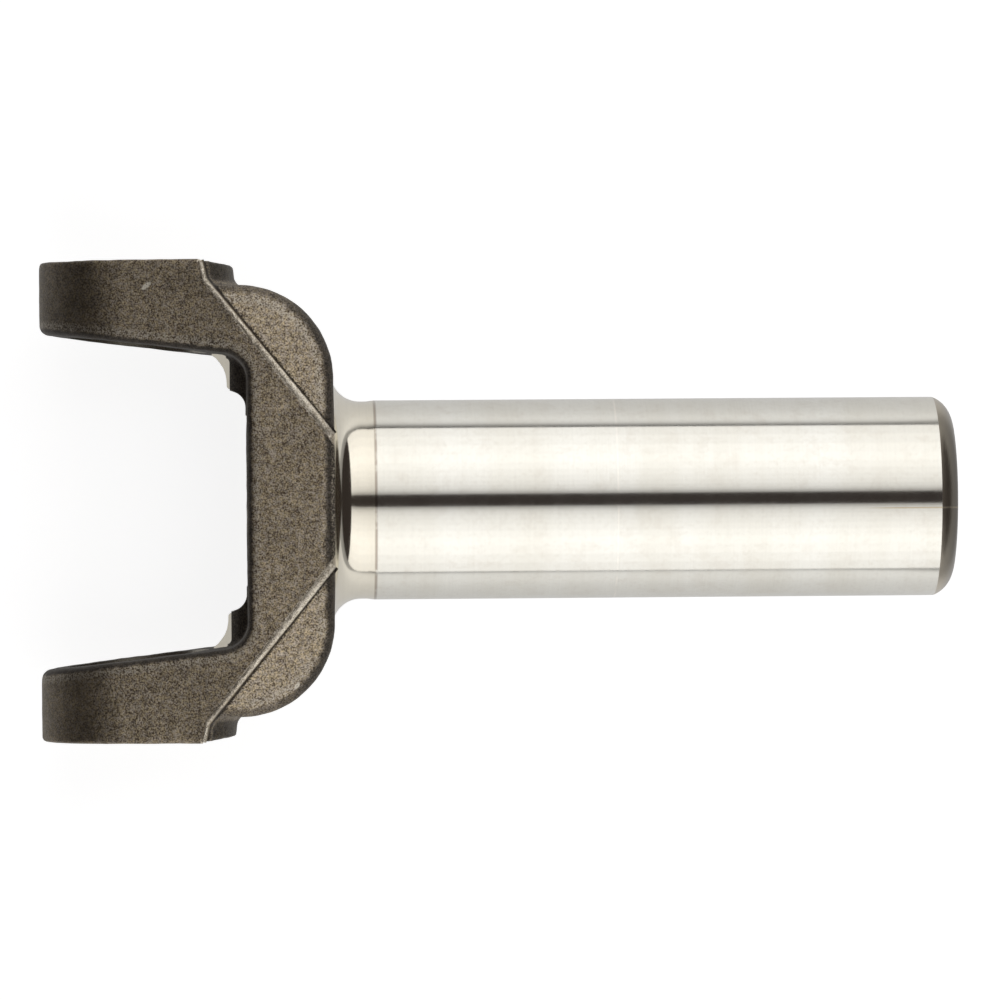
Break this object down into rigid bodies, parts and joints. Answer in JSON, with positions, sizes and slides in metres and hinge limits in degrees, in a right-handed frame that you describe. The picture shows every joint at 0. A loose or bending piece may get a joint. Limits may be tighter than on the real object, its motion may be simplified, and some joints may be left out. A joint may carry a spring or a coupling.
{
  "type": "driveshaft slip yoke",
  "caption": "One-piece forged slip yoke: a two-eared fork with cross bores for a universal joint on a ground barrel with an internal spline, sealed by a soft plug.",
  "frame": {"origin": "the joint centre, where the axis through both cap bores crosses the barrel's axis", "axes": "+X along the barrel towards its open end, +Y through both cap bores, +Z out of one flat side of the fork, up as it lies"},
  "size_m": [0.1746, 0.0914, 0.0478],
  "materials": {
    "forged_steel": "shot-blasted forging skin on the fork, ground bright steel on the barrel",
    "plug_steel": "pressed sheet steel, plain"
  },
  "bodies": {
    "root": {"yoke": "forged_steel", "core_plug": "plug_steel"}
  },
  "joints": []
}
